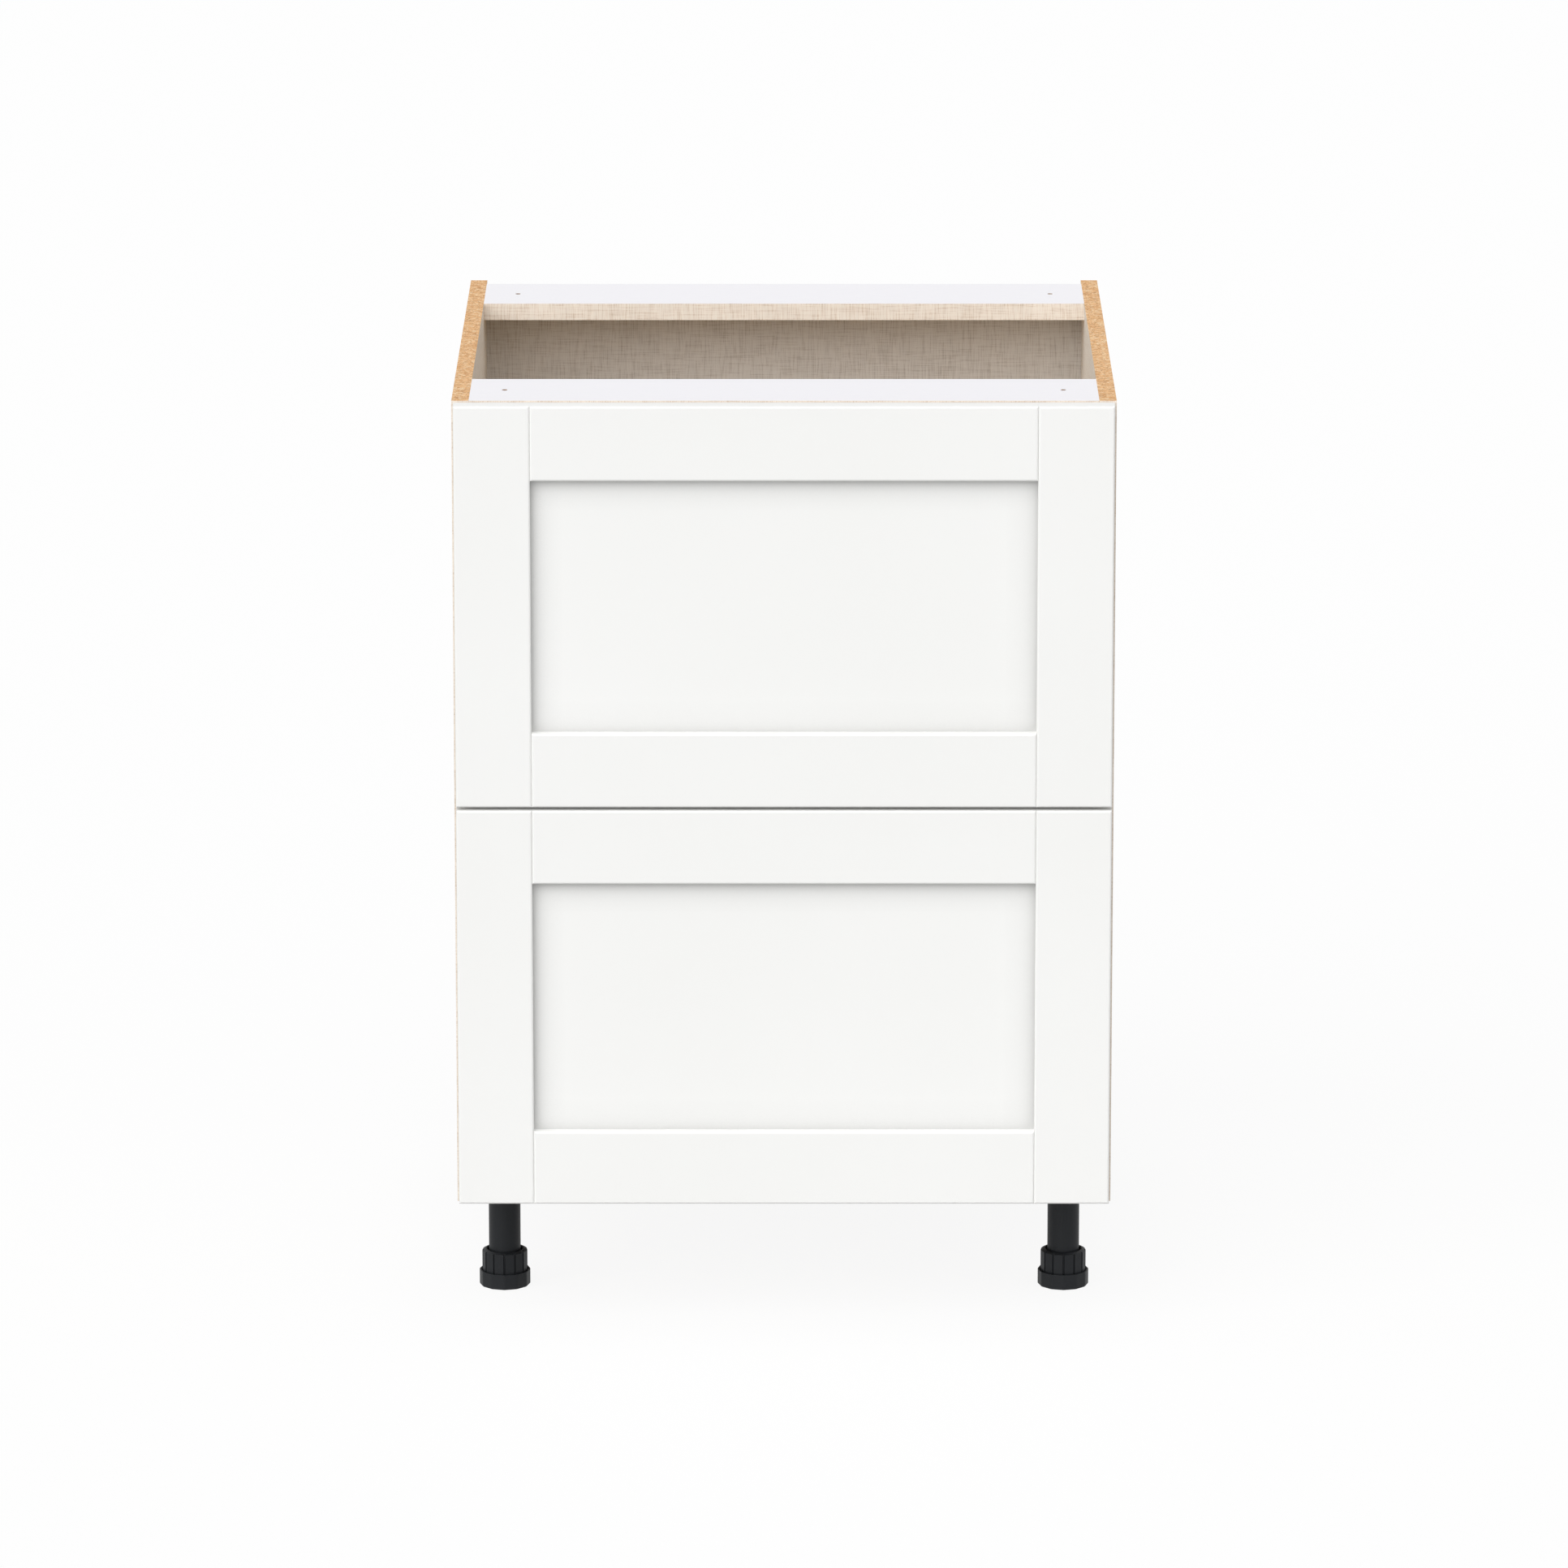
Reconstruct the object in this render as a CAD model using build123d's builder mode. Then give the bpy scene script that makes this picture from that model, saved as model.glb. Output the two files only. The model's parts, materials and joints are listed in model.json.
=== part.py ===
from build123d import *
import math
import os

# Frameless base cabinet with two framed drawer fronts, on four adjustable legs.
# Millimetres. X is the width with 0 in the middle, the fronts face -Y, Z starts at the floor.

# ---------------------------------------------------------------- carcass sizes
CABINET_WIDTH = 609.6
CARCASS_HEIGHT = 762.0
LEG_HEIGHT = 114.3
SIDE_DEPTH = 590.0
BOARD = 15.9
BAND = 1.0
BAND_GAP = 0.1
RAIL_DEPTH = 101.6
SIDE_OVERHANG = 19.4

FRONT_THICK = 19.0
FRONT_GAP = 2.0

HALF_WIDTH = CABINET_WIDTH / 2
INNER_X = HALF_WIDTH - BOARD
FRONT_FACE_Y = -(SIDE_DEPTH + FRONT_THICK + FRONT_GAP) / 2
FRONT_BACK_Y = FRONT_FACE_Y + FRONT_THICK
CARCASS_Y = FRONT_BACK_Y + FRONT_GAP
BOARD_Y = CARCASS_Y + BAND
SIDE_BACK_Y = CARCASS_Y + SIDE_DEPTH
PANEL_BACK_Y = SIDE_BACK_Y - SIDE_OVERHANG
PANEL_FRONT_Y = PANEL_BACK_Y - BOARD
PANEL_MID_Y = PANEL_BACK_Y - BOARD / 2
BACK_RAIL_Y = PANEL_BACK_Y - RAIL_DEPTH

BASE_Z = LEG_HEIGHT
FLOOR_Z = BASE_Z + BOARD
BOTTOM_MID_Z = BASE_Z + BOARD / 2
TOP_Z = BASE_Z + CARCASS_HEIGHT
RAIL_Z = TOP_Z - BOARD
RAIL_MID_Z = TOP_Z - BOARD / 2

# ---------------------------------------------------------------- carcass fixings
FIT = 0.05
WORKTOP_HOLE_X = 257.2
WORKTOP_HOLE_R = 2.5
WORKTOP_HOLE_FRONT_Y = CARCASS_Y + RAIL_DEPTH / 2
WORKTOP_HOLE_BACK_Y = PANEL_BACK_Y - RAIL_DEPTH / 2

SCREW_HEAD_R = 5.0
HEX_R = 2.0
HEX_DEEP = 3.0
SCREW_NECK_R = 3.5
SCREW_CORE_R = 2.5
SCREW_LENGTH = 50.0
CARCASS_SCREWS = [
    (-230.0, BOTTOM_MID_Z),
    (20.0, BOTTOM_MID_Z),
    (250.0, BOTTOM_MID_Z),
    (-262.0, RAIL_MID_Z),
    (262.0, RAIL_MID_Z),
    (PANEL_MID_Y, 240.0),
    (PANEL_MID_Y, 495.0),
    (PANEL_MID_Y, 750.0),
]

DOWEL_R = 4.0
DOWEL_IN_SIDE = 12.0
DOWEL_IN_BOARD = 18.0
DOWEL_CHAMFER = 0.8
CARCASS_DOWELS = [
    (-105.0, BOTTOM_MID_Z),
    (135.0, BOTTOM_MID_Z),
    (-206.0, RAIL_MID_Z),
    (208.0, RAIL_MID_Z),
    (PANEL_MID_Y, 367.0),
    (PANEL_MID_Y, 622.0),
]
BACK_DOWELS_X = [-200.0, 0.0, 200.0]
BACK_DOWEL_DOWN = 10.0
BACK_DOWEL_UP = 20.0

# ---------------------------------------------------------------- drawer fronts
FRONT_REVEAL = 2.0
FRONT_HEIGHT = 377.5
DRAWER_PITCH = FRONT_HEIGHT + 3.0
LOWER_FRONT_Z = BASE_Z + 3.0
FRONT_X = HALF_WIDTH - FRONT_REVEAL
STILE = 70.0
PANEL_SET_BACK = 9.5
PANEL_THICK = 6.0
GROOVE_DEPTH = 8.0
PANEL_SLACK = 0.5
EDGE_ROUND = 2.0

GROOVE_FRONT_Y = FRONT_FACE_Y + PANEL_SET_BACK
GROOVE_BACK_Y = GROOVE_FRONT_Y + PANEL_THICK
FRAME_X = FRONT_X - STILE

BUMPER_R = 4.0
BUMPER_THICK = 1.8
BUMPER_X = INNER_X + BOARD / 2
BUMPER_FROM_EDGE = 14.0

# ---------------------------------------------------------------- drawer boxes
BOX_THICK = 13.0
BOX_SIDE_GAP = 8.0
BOX_LENGTH = 533.0
BOX_HEIGHT = 229.0
BOX_RISE = 27.0
BOX_FLOOR_RISE = 13.0
BOX_FLOOR_THICK = 6.0
BOX_GROOVE = 6.0
BOX_FLOOR_SLACK = 0.2

BOX_X = INNER_X - BOX_SIDE_GAP
BOX_IN_X = BOX_X - BOX_THICK
BOX_Y = FRONT_BACK_Y
BOX_IN_Y = BOX_Y + BOX_THICK
BOX_BACK_Y = BOX_Y + BOX_LENGTH
BOX_BACK_IN_Y = BOX_BACK_Y - BOX_THICK

TAILS = 5
TAIL_PITCH = BOX_HEIGHT / TAILS
TAIL_ROOT_HALF = 15.0
TAIL_END_HALF = 17.0

FRONT_SCREW_X = 256.0
FRONT_SCREW_RISES = [60.0, 180.0]
FRONT_SCREW_R = 2.0
FRONT_SCREW_LENGTH = 25.5
PAN_HEAD_R = 4.5
PAN_HEAD_TALL = 2.2
PAN_CROWN = 0.7
PAN_SHOULDER = 0.45
POINT_LONG = 1.6
DRIVE_WIDE = 1.2
DRIVE_LONG = 4.6
DRIVE_DEEP = 1.1

# ---------------------------------------------------------------- runners
# Across the cabinet (u) from the inside of the side panel, up (w) from the foot of the box side.
SHEET = 1.5
FLANGE_LOW = -12.0
FLANGE_HIGH = 28.0
FLANGE_ROUND = 8.0
SHELF_WIDE = 40.0
FLANGE_FRONT_Y = CARCASS_Y + 3.0
RUNNER_BACK_Y = 250.0
TRACK_FRONT_Y = -270.0
TRACK_MID = 34.0
TRACK_HALF = 4.0
TRACK_HIGH = 3.5
TRACK_SKIRT = 1.2
TRACK_SKIRT_LOW = -0.5
MIDDLE_HALF = 8.0
MIDDLE_LOW = -2.5
MIDDLE_HIGH = 9.0
MIDDLE_LIP = 6.0
MIDDLE_FRONT_Y = -268.0
MIDDLE_BACK_Y = 232.0
MEMBER_HALF = 12.0
MEMBER_LOW = -5.5
MEMBER_HIGH = BOX_FLOOR_RISE
MEMBER_LIP = 5.5
MEMBER_FRONT_Y = -272.0
MEMBER_BACK_Y = BOX_BACK_Y
HOOK_RISE = 24.0
HOOK_R = 3.0
HOOK_DEEP = 8.5
HOOK_TAB_HALF = 6.0
HOOK_TAB_HIGH = HOOK_RISE + HOOK_R + 2.0
NOTCH_IN = 50.0

RUNNER_SCREW_RISE = 15.0
RUNNER_SCREWS_Y = [-247.5, -23.5, 200.5]
SPARE_HOLES_Y = [-183.5, -119.5, 104.5, 168.5]
RUNNER_SCREW_R = 3.0
RUNNER_SCREW_IN = 11.0
RUNNER_HEAD_TALL = 1.8

CAGE_THICK = 0.6
ROLLER_R = 0.95
ROLLER_PITCH = 22.0
OUTER_CAGE_SPAN = (-130.0, 110.0)
OUTER_CAGE_W = (-2.0, 8.0)
OUTER_ROLLER_W = (0.0, 6.0)
INNER_CAGE_SPAN = (-135.0, 95.0)
INNER_CAGE_W = (-0.4, 6.5)
INNER_ROLLER_W = (0.0, 3.4)
OUTER_CAGE_OFF = (MEMBER_HALF - SHEET + MIDDLE_HALF) / 2
INNER_CAGE_OFF = (MIDDLE_HALF - SHEET + TRACK_HALF) / 2

LOCK_U = (48.0, 76.0)
LOCK_W = (2.5, 13.0)
LOCK_BACK_Y = -228.0
LOCK_ROUND = 4.0
LOCK_CHAMFER = 0.8
LEVER_U = (53.0, 71.0)
LEVER_W = (4.0, 8.0)
LEVER_ROOT_Y = LOCK_BACK_Y - 6.0
LEVER_BACK_Y = -204.0
LEVER_ROUND = 5.0
LATCH_Y = (BOX_IN_Y + 8.0, BOX_IN_Y + 26.0)

# ---------------------------------------------------------------- legs
LEG_X = 264.4
LEG_FRONT_Y = CARCASS_Y + 115.0
LEG_BACK_Y = PANEL_BACK_Y - 100.0
PLATE_HALF = 32.0
PLATE_THICK = 4.0
PLATE_ROUND = 8.0
BOSS_R = 19.0
BOSS_LOW_Z = 92.0
RIB_IN = 16.0
RIB_OUT = 30.0
RIB_THICK = 3.0
RIB_LOW_Z = 94.0
PLATE_SCREWS = [(-25.0, -25.0), (-25.0, 25.0), (16.0, -25.0), (16.0, 25.0)]
LEG_SCREW_R = 1.75
LEG_SCREW_IN = 10.0
LEG_HEAD_R = 3.5
LEG_HEAD_TALL = 2.2
TUBE_R = 15.0
TUBE_LOW_Z = 27.0
TUBE_HIGH_Z = 108.0
TUBE_BORE_R = 11.6
TUBE_BORE_TOP_Z = 104.0
TUBE_CHAMFER = 0.8

COLLAR_R = 21.6
COLLAR_LOW_Z = 5.0
COLLAR_TOP_Z = 35.0
COLLAR_LIP_R = 18.3
COLLAR_CHAMFER = 1.7
CUP_R = 17.0
CUP_FLOOR_Z = 16.0
COLLAR_FLATS = 13
COLLAR_GROOVE_WIDE = 1.8
COLLAR_GROOVE_DEEP = 1.7
STEM_R = 11.2
STEM_ROOT_R = 10.1
STEM_TOP_Z = 80.0
STEM_CHAMFER = 2.0
THREAD_LOW_Z = 20.0
THREAD_PITCH = 3.0
THREAD_CREST = 0.8
THREAD_TURNS = 19
PIVOT_R = 5.0
PIVOT_GAP = 0.4
PIVOT_TOP_Z = 10.0

PAD_R = 24.2
PAD_SIDES = 12
PAD_EDGE_ROUND = 6.0
PAD_RIM_Z = 14.6
PAD_HOLLOW_R = 22.2
PAD_FLOOR_Z = 4.4
PAD_FOOT_CHAMFER = 0.8

LEGS = {
    "front_left": (-LEG_X, LEG_FRONT_Y),
    "front_right": (LEG_X, LEG_FRONT_Y),
    "back_left": (-LEG_X, LEG_BACK_Y),
    "back_right": (LEG_X, LEG_BACK_Y),
}
LEVELS = {"lower": LOWER_FRONT_Z, "upper": LOWER_FRONT_Z + DRAWER_PITCH}

TO_RIGHT = (1, 0, 0)
TO_LEFT = (-1, 0, 0)
TO_FRONT = (0, -1, 0)
TO_BACK = (0, 1, 0)
UP = (0, 0, 1)
DOWN = (0, 0, -1)


def save(piece, label):
    """Name a finished piece and write it as a STEP file."""
    piece.label = label
    export_step(piece, f"parts/{label}.step")


def slab(x_span, y_span, z_span, mode=Mode.ADD):
    """Rectangular block between low and high bounds on each axis, in the open part."""
    spans = (x_span, y_span, z_span)
    centre = tuple((low + high) / 2 for low, high in spans)
    size = tuple(high - low for low, high in spans)
    with Locations(centre):
        Box(*size, mode=mode)


def drill(points, outward, radius, depth):
    """Blind round holes in the open part, each from a point on a face whose normal is outward."""
    with Locations(*[Plane(origin=point, z_dir=outward) for point in points]):
        Hole(radius, depth)


def bar(u_span, w_span):
    """Rectangle of the runner section in the open sketch, in the runner's u and w."""
    with Locations((INNER_X - sum(u_span) / 2, sum(w_span) / 2)):
        Rectangle(u_span[1] - u_span[0], w_span[1] - w_span[0])


def tail_outline(root_y, end_y, low_z):
    """Corner points in Y and Z of every dovetail at one end of a box side."""
    outlines = []
    for tail in range(TAILS):
        mid = low_z + TAIL_PITCH * (tail + 0.5)
        outlines.append(
            [
                (root_y, mid - TAIL_ROOT_HALF),
                (end_y, mid - TAIL_END_HALF),
                (end_y, mid + TAIL_END_HALF),
                (root_y, mid + TAIL_ROOT_HALF),
            ]
        )
    return outlines


os.makedirs("parts", exist_ok=True)

# ================================================================ carcass
RUNNER_SCREW_POINTS = [
    (y, low_z + BOX_RISE + RUNNER_SCREW_RISE) for low_z in LEVELS.values() for y in RUNNER_SCREWS_Y
]

with BuildPart() as side_panel_right:
    slab((INNER_X, HALF_WIDTH), (BOARD_Y, SIDE_BACK_Y), (BASE_Z, TOP_Z))
    with Locations(*[Plane(origin=(HALF_WIDTH, y, z), z_dir=TO_RIGHT) for y, z in CARCASS_SCREWS]):
        CounterSinkHole(SCREW_NECK_R + FIT, SCREW_HEAD_R + FIT, BOARD)
    drill([(INNER_X, y, z) for y, z in CARCASS_DOWELS], TO_LEFT, DOWEL_R + FIT, DOWEL_IN_SIDE + FIT)
    drill([(INNER_X, y, z) for y, z in RUNNER_SCREW_POINTS], TO_LEFT, RUNNER_SCREW_R + FIT,
          RUNNER_SCREW_IN + FIT)
save(side_panel_right.part, "side_panel_right")

with BuildPart() as side_panel_left:
    mirror(side_panel_right.part, about=Plane.YZ)
save(side_panel_left.part, "side_panel_left")


def end_drilling(at_z=None, at_y=None):
    """Screw and dowel bores in both ends of a board lying at the given height or depth."""
    for outward, x in ((TO_RIGHT, INNER_X), (TO_LEFT, -INNER_X)):
        for rows, radius, depth in (
            (CARCASS_SCREWS, SCREW_CORE_R, SCREW_LENGTH - BOARD),
            (CARCASS_DOWELS, DOWEL_R, DOWEL_IN_BOARD),
        ):
            spots = [(x, y, z) for y, z in rows if at_z in (None, z) and (at_y is None or at_y(y))]
            drill(spots, outward, radius + FIT, depth + FIT)


BACK_DOWEL_SPOTS = [(x, PANEL_MID_Y, FLOOR_Z) for x in BACK_DOWELS_X]
LEG_SCREW_SPOTS = [
    (leg_x + math.copysign(1, leg_x) * dx, leg_y + dy)
    for leg_x, leg_y in LEGS.values()
    for dx, dy in PLATE_SCREWS
]

with BuildPart() as bottom_panel:
    slab((-INNER_X, INNER_X), (BOARD_Y, PANEL_BACK_Y), (BASE_Z, FLOOR_Z))
    end_drilling(at_z=BOTTOM_MID_Z)
    drill(BACK_DOWEL_SPOTS, UP, DOWEL_R + FIT, BACK_DOWEL_DOWN + FIT)
    drill([(x, y, BASE_Z) for x, y in LEG_SCREW_SPOTS], DOWN, LEG_SCREW_R + FIT, LEG_SCREW_IN + FIT)
save(bottom_panel.part, "bottom_panel")

with BuildPart() as back_panel:
    slab((-INNER_X, INNER_X), (PANEL_FRONT_Y, PANEL_BACK_Y), (FLOOR_Z, RAIL_Z))
    end_drilling(at_y=lambda y: y == PANEL_MID_Y)
    drill(BACK_DOWEL_SPOTS, DOWN, DOWEL_R + FIT, BACK_DOWEL_UP + FIT)
save(back_panel.part, "back_panel")

with BuildPart() as top_rail_front:
    slab((-INNER_X, INNER_X), (BOARD_Y, CARCASS_Y + RAIL_DEPTH), (RAIL_Z, TOP_Z))
    end_drilling(at_z=RAIL_MID_Z, at_y=lambda y: y < 0)
    drill([(x, WORKTOP_HOLE_FRONT_Y, TOP_Z) for x in (-WORKTOP_HOLE_X, WORKTOP_HOLE_X)], UP,
          WORKTOP_HOLE_R, BOARD)
save(top_rail_front.part, "top_rail_front")

with BuildPart() as top_rail_back:
    slab((-INNER_X, INNER_X), (BACK_RAIL_Y + BAND, PANEL_BACK_Y), (RAIL_Z, TOP_Z))
    end_drilling(at_z=RAIL_MID_Z, at_y=lambda y: y > 0)
    drill([(x, WORKTOP_HOLE_BACK_Y, TOP_Z) for x in (-WORKTOP_HOLE_X, WORKTOP_HOLE_X)], UP,
          WORKTOP_HOLE_R, BOARD)
save(top_rail_back.part, "top_rail_back")

# Thin bands glued to the sawn front edges of the carcass boards.
BAND_X = INNER_X - BAND_GAP
with BuildPart() as edge_bands:
    for x_span in ((-HALF_WIDTH, -INNER_X), (INNER_X, HALF_WIDTH)):
        slab(x_span, (CARCASS_Y, BOARD_Y), (BASE_Z, TOP_Z))
    slab((-BAND_X, BAND_X), (CARCASS_Y, BOARD_Y), (BASE_Z, FLOOR_Z))
    slab((-BAND_X, BAND_X), (CARCASS_Y, BOARD_Y), (RAIL_Z, TOP_Z))
    slab((-BAND_X, BAND_X), (BACK_RAIL_Y, BACK_RAIL_Y + BAND), (RAIL_Z, TOP_Z))
save(edge_bands.part, "edge_bands")

# One carcass screw, its flush head at the origin and its shank down -Z.
with BuildPart() as carcass_screw:
    with BuildSketch(Plane.XZ):
        with BuildLine():
            Polyline(
                (0, 0),
                (SCREW_HEAD_R, 0),
                (SCREW_NECK_R, -(SCREW_HEAD_R - SCREW_NECK_R)),
                (SCREW_NECK_R, -BOARD),
                (SCREW_CORE_R, -BOARD),
                (SCREW_CORE_R, -SCREW_LENGTH + SCREW_CORE_R),
                (0, -SCREW_LENGTH),
                close=True,
            )
        make_face()
    revolve(axis=Axis.Z)
    with BuildSketch():
        RegularPolygon(HEX_R, 6)
    extrude(amount=-HEX_DEEP, mode=Mode.SUBTRACT)

with BuildPart() as carcass_screws:
    with Locations(*[Plane(origin=(HALF_WIDTH, y, z), z_dir=TO_RIGHT) for y, z in CARCASS_SCREWS]):
        add(carcass_screw.part)
    with Locations(*[Plane(origin=(-HALF_WIDTH, y, z), z_dir=TO_LEFT) for y, z in CARCASS_SCREWS]):
        add(carcass_screw.part)
save(carcass_screws.part, "carcass_screws")

with BuildPart() as carcass_dowels:
    for side, outward in ((1, TO_RIGHT), (-1, TO_LEFT)):
        end_x = side * (INNER_X + DOWEL_IN_SIDE)
        with Locations(*[Plane(origin=(end_x, y, z), z_dir=outward) for y, z in CARCASS_DOWELS]):
            Cylinder(DOWEL_R, DOWEL_IN_SIDE + DOWEL_IN_BOARD, align=(Align.CENTER, Align.CENTER, Align.MAX))
    with Locations(*[(x, y, z - BACK_DOWEL_DOWN) for x, y, z in BACK_DOWEL_SPOTS]):
        Cylinder(DOWEL_R, BACK_DOWEL_DOWN + BACK_DOWEL_UP, align=(Align.CENTER, Align.CENTER, Align.MIN))
    chamfer(carcass_dowels.edges().filter_by(GeomType.CIRCLE), DOWEL_CHAMFER)
save(carcass_dowels.part, "carcass_dowels")


def pan_screw(head_r, head_tall, shank_r, length):
    """Pan-head wood screw, its head's seat at the origin and its pointed shank down -Z."""
    with BuildPart() as screw:
        with BuildSketch(Plane.XZ):
            with BuildLine():
                Polyline(
                    (0, head_tall),
                    (head_r * PAN_CROWN, head_tall),
                    (head_r, head_tall * PAN_SHOULDER),
                    (head_r, 0),
                    (shank_r, 0),
                    (shank_r, -length + POINT_LONG * shank_r),
                    (0, -length),
                    close=True,
                )
            make_face()
        revolve(axis=Axis.Z)
        with BuildSketch(Plane.XY.offset(head_tall)):
            Rectangle(DRIVE_LONG, DRIVE_WIDE)
            Rectangle(DRIVE_WIDE, DRIVE_LONG)
        extrude(amount=-DRIVE_DEEP, mode=Mode.SUBTRACT)
    return screw.part


runner_screw = pan_screw(PAN_HEAD_R, RUNNER_HEAD_TALL, RUNNER_SCREW_R, RUNNER_SCREW_IN + SHEET)
front_screw = pan_screw(PAN_HEAD_R, PAN_HEAD_TALL, FRONT_SCREW_R, FRONT_SCREW_LENGTH)
leg_screw = pan_screw(LEG_HEAD_R, LEG_HEAD_TALL, LEG_SCREW_R, LEG_SCREW_IN + PLATE_THICK)

with BuildPart() as runner_screws:
    for x, outward in ((INNER_X - SHEET, TO_LEFT), (-INNER_X + SHEET, TO_RIGHT)):
        with Locations(*[Plane(origin=(x, y, z), z_dir=outward) for y, z in RUNNER_SCREW_POINTS]):
            add(runner_screw)
save(runner_screws.part, "runner_screws")

# ================================================================ drawers and runners
for level, front_z in LEVELS.items():
    front_top = front_z + FRONT_HEIGHT
    box_z = front_z + BOX_RISE
    box_top = box_z + BOX_HEIGHT
    front_y = (FRONT_FACE_Y, FRONT_BACK_Y)
    groove_y = (GROOVE_FRONT_Y, GROOVE_BACK_Y)
    floor_z = (box_z + BOX_FLOOR_RISE, box_z + BOX_FLOOR_RISE + BOX_FLOOR_THICK)
    front_screw_spots = [(FRONT_SCREW_X, box_z + rise) for rise in FRONT_SCREW_RISES]

    # ---- framed front: two stiles, two rails with stub tenons, one loose panel
    with BuildPart() as front_stile_right:
        slab((FRAME_X, FRONT_X), front_y, (front_z, front_top))
        fillet(front_stile_right.faces().sort_by(Axis.Y)[0].edges(), EDGE_ROUND)
        slab((FRAME_X, FRAME_X + GROOVE_DEPTH), groove_y, (front_z, front_top), Mode.SUBTRACT)
        drill([(x, FRONT_BACK_Y, z) for x, z in front_screw_spots], TO_BACK, FRONT_SCREW_R + FIT,
              FRONT_SCREW_LENGTH - BOX_THICK + FIT)
    save(front_stile_right.part, f"{level}_front_stile_right")

    with BuildPart() as front_stile_left:
        mirror(front_stile_right.part, about=Plane.YZ)
    save(front_stile_left.part, f"{level}_front_stile_left")

    tongue_x = FRAME_X + GROOVE_DEPTH
    with BuildPart() as front_rail_top:
        slab((-FRAME_X, FRAME_X), front_y, (front_top - STILE, front_top))
        fillet(front_rail_top.faces().sort_by(Axis.Y)[0].edges(), EDGE_ROUND)
        slab((-tongue_x, tongue_x), groove_y, (front_top - STILE, front_top))
        slab((-tongue_x, tongue_x), groove_y, (front_top - STILE, front_top - STILE + GROOVE_DEPTH),
             Mode.SUBTRACT)
    save(front_rail_top.part, f"{level}_front_rail_top")

    mid_height = Plane.XY.offset((front_z + front_top) / 2)
    with BuildPart() as front_rail_bottom:
        mirror(front_rail_top.part, about=mid_height)
    save(front_rail_bottom.part, f"{level}_front_rail_bottom")

    panel_x = tongue_x - PANEL_SLACK
    panel_trim = STILE - GROOVE_DEPTH + PANEL_SLACK
    with BuildPart() as front_panel:
        slab((-panel_x, panel_x), groove_y, (front_z + panel_trim, front_top - panel_trim))
    save(front_panel.part, f"{level}_front_panel")

    # ---- dovetailed box
    side_groove = (BOX_IN_X, BOX_IN_X + BOX_GROOVE)
    groove_span = (BOX_IN_Y - BOX_GROOVE, BOX_BACK_IN_Y + BOX_GROOVE)
    tails = tail_outline(BOX_IN_Y, BOX_Y, box_z) + tail_outline(BOX_BACK_IN_Y, BOX_BACK_Y, box_z)
    with BuildPart() as box_side_right:
        slab((BOX_IN_X, BOX_X), (BOX_IN_Y, BOX_BACK_IN_Y), (box_z, box_top))
        with BuildSketch(Plane.YZ.offset(BOX_IN_X)):
            for outline in tails:
                with BuildLine():
                    Polyline(*outline, close=True)
                make_face()
        extrude(amount=BOX_THICK)
        slab((BOX_IN_X, BOX_X), (BOX_BACK_IN_Y, BOX_BACK_Y), (box_z, box_z + TAIL_PITCH / 2))
        top_edges = box_side_right.edges().filter_by(Axis.Y).group_by(Axis.Z)[-1]
        fillet(top_edges, EDGE_ROUND)
        slab(side_groove, groove_span, floor_z, Mode.SUBTRACT)
    save(box_side_right.part, f"{level}_box_side_right")

    with BuildPart() as box_side_left:
        mirror(box_side_right.part, about=Plane.YZ)
    save(box_side_left.part, f"{level}_box_side_left")

    with BuildPart() as box_front:
        slab((-BOX_X, BOX_X), (BOX_Y, BOX_IN_Y), (box_z, box_top))
        with BuildSketch(Plane.YZ.offset(BOX_IN_X), Plane.YZ.offset(-BOX_X)):
            for outline in tail_outline(BOX_IN_Y, BOX_Y, box_z):
                with BuildLine():
                    Polyline(*outline, close=True)
                make_face()
        extrude(amount=BOX_THICK, mode=Mode.SUBTRACT)
        slab((-BOX_IN_X - BOX_GROOVE, BOX_IN_X + BOX_GROOVE), (BOX_IN_Y - BOX_GROOVE, BOX_IN_Y),
             floor_z, Mode.SUBTRACT)
        for side in (-1, 1):
            drill([(side * x, BOX_IN_Y, z) for x, z in front_screw_spots], TO_BACK,
                  FRONT_SCREW_R + FIT, BOX_THICK)
    save(box_front.part, f"{level}_box_front")

    hook_x = INNER_X - TRACK_MID
    with BuildPart() as box_back:
        slab((-BOX_X, BOX_X), (BOX_BACK_IN_Y, BOX_BACK_Y), (box_z, box_top))
        with BuildSketch(Plane.YZ.offset(BOX_IN_X), Plane.YZ.offset(-BOX_X)):
            for outline in tail_outline(BOX_BACK_IN_Y, BOX_BACK_Y, box_z):
                with BuildLine():
                    Polyline(*outline, close=True)
                make_face()
        extrude(amount=BOX_THICK, mode=Mode.SUBTRACT)
        slab((-BOX_IN_X - BOX_GROOVE, BOX_IN_X + BOX_GROOVE),
             (BOX_BACK_IN_Y, BOX_BACK_IN_Y + BOX_GROOVE), floor_z, Mode.SUBTRACT)
        notch_in = INNER_X - NOTCH_IN
        for x_span in ((-BOX_IN_X, -notch_in), (notch_in, BOX_IN_X)):
            slab(x_span, (BOX_BACK_IN_Y, BOX_BACK_Y), (box_z, floor_z[0]), Mode.SUBTRACT)
        for x_span in ((-BOX_X, -BOX_IN_X), (BOX_IN_X, BOX_X)):
            slab(x_span, (BOX_BACK_IN_Y, BOX_BACK_Y), (box_z, box_z + TAIL_PITCH / 2), Mode.SUBTRACT)
        drill([(x, BOX_BACK_Y, box_z + HOOK_RISE) for x in (-hook_x, hook_x)], TO_BACK,
              HOOK_R + FIT, HOOK_DEEP + FIT)
    save(box_back.part, f"{level}_box_back")

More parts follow.
